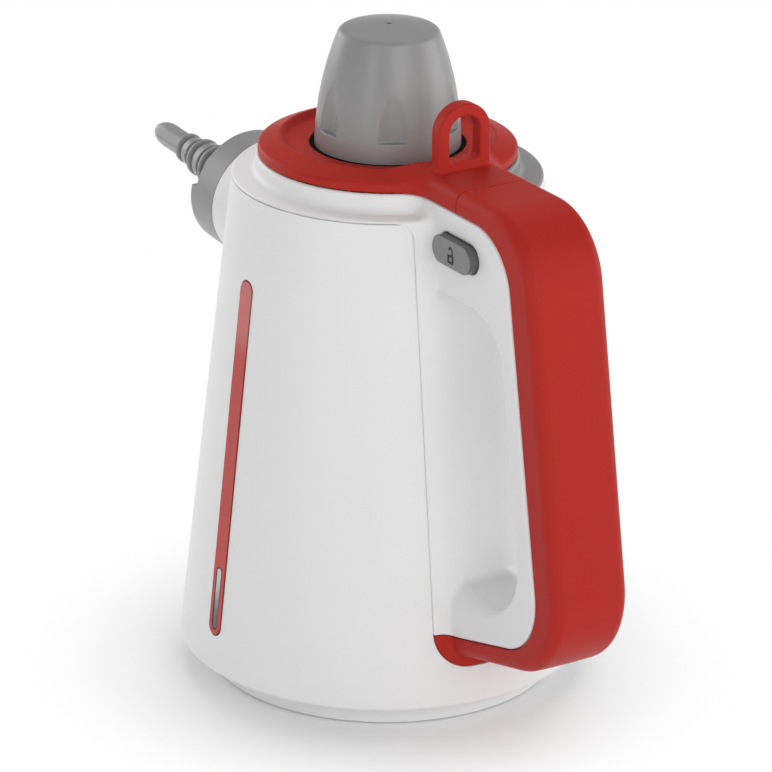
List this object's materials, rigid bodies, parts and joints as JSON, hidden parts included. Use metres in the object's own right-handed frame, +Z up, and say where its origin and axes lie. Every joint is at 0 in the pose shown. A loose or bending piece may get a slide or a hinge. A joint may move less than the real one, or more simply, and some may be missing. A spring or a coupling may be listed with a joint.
{
  "type": "handheld steam cleaner",
  "caption": "White handheld steam cleaner with a red looped handle, grey screw cap, short ribbed nozzle, lock button and trigger",
  "frame": {"origin": "centre of the base pad, on the floor under the body axis", "axes": "+X from the body axis to the handle, so the nozzle points to -X; +Y to the side of the cord inlet, so the lock button is on -Y; +Z up"},
  "size_m": [0.2658, 0.1339, 0.2144],
  "materials": {
    "white_plastic": "satin moulded plastic",
    "red_plastic": "satin moulded plastic",
    "grey_plastic": "fine-grained moulded plastic",
    "dark_plastic": "heat-resistant moulded plastic",
    "trim_gloss": "polished",
    "lens_smoke": "smoked, polished",
    "lamp_clear": "clear",
    "rubber_grey": "matte",
    "silicone": "matte",
    "boiler_alu": "spun",
    "brass": "machined",
    "copper": "drawn",
    "steel": "bright",
    "ceramic": "ceramic, matte",
    "lead_sleeve": "woven sleeve"
  },
  "bodies": {
    "housing": {"front_shell": "white_plastic", "rear_housing": "white_plastic", "shoulder_insert": "grey_plastic", "base_plate": "white_plastic", "base_pad": "rubber_grey", "base_screws": "steel", "top_collar": "red_plastic", "handle_strap": "red_plastic", "nozzle_collar": "grey_plastic", "nozzle_tube": "grey_plastic", "trim_strip": "trim_gloss", "indicator_lens": "lens_smoke", "indicator_lamp": "lamp_clear", "cord_gland": "rubber_grey", "boiler": "boiler_alu", "filler_neck": "brass", "heating_element": "steel", "thermostat": "ceramic", "thermal_fuse": "ceramic", "supply_lead": "lead_sleeve", "steam_valve": "brass", "steam_pipe": "copper", "trigger_pin": "steel", "trigger_spring": "steel"},
    "trigger": {"trigger": "grey_plastic"},
    "valve_rod": {"push_rod": "steel", "valve_plunger": "brass"},
    "lock": {"lock_button": "grey_plastic"},
    "cap_seal": {"cap_gasket": "silicone"},
    "cap": {"cap_shell": "grey_plastic", "cap_plug": "dark_plastic", "relief_spring": "steel"},
    "relief": {"relief_poppet": "brass"}
  },
  "joints": [
    {"name": "trigger_pull", "type": "hinge", "parent": "housing", "child": "trigger", "pos_m": [0.09322, 0, 0.1389], "axis": [0, -1, 0], "range_deg": [0, 9], "stiffness_Nm_per_rad": 0.6, "springref_deg": -5.73},
    {"name": "valve_push", "type": "slide", "parent": "housing", "child": "valve_rod", "axis": [-1, 0, 0], "range_m": [0, 0.00211]},
    {"name": "lock_slide", "type": "slide", "parent": "housing", "child": "lock", "axis": [0, 1, 0], "range_m": [0, 0.0028]},
    {"name": "cap_lift", "type": "slide", "parent": "housing", "child": "cap_seal", "axis": [0, 0, 1], "range_m": [0, 0.06]},
    {"name": "cap_turn", "type": "hinge", "parent": "cap_seal", "child": "cap", "pos_m": [0, 0, 0.1928], "axis": [0, 0, 1], "range_deg": [0, 1080]},
    {"name": "relief_open", "type": "slide", "parent": "cap", "child": "relief", "axis": [0, 0, 1], "range_m": [0, 0.0015], "stiffness_N_per_m": 900, "springref_m": -0.004, "deforming": ["relief_spring"]}
  ],
  "couplings": [
    {"joint": "valve_push", "follows": "trigger_pull", "m_per_rad": 0.0134}
  ]
}
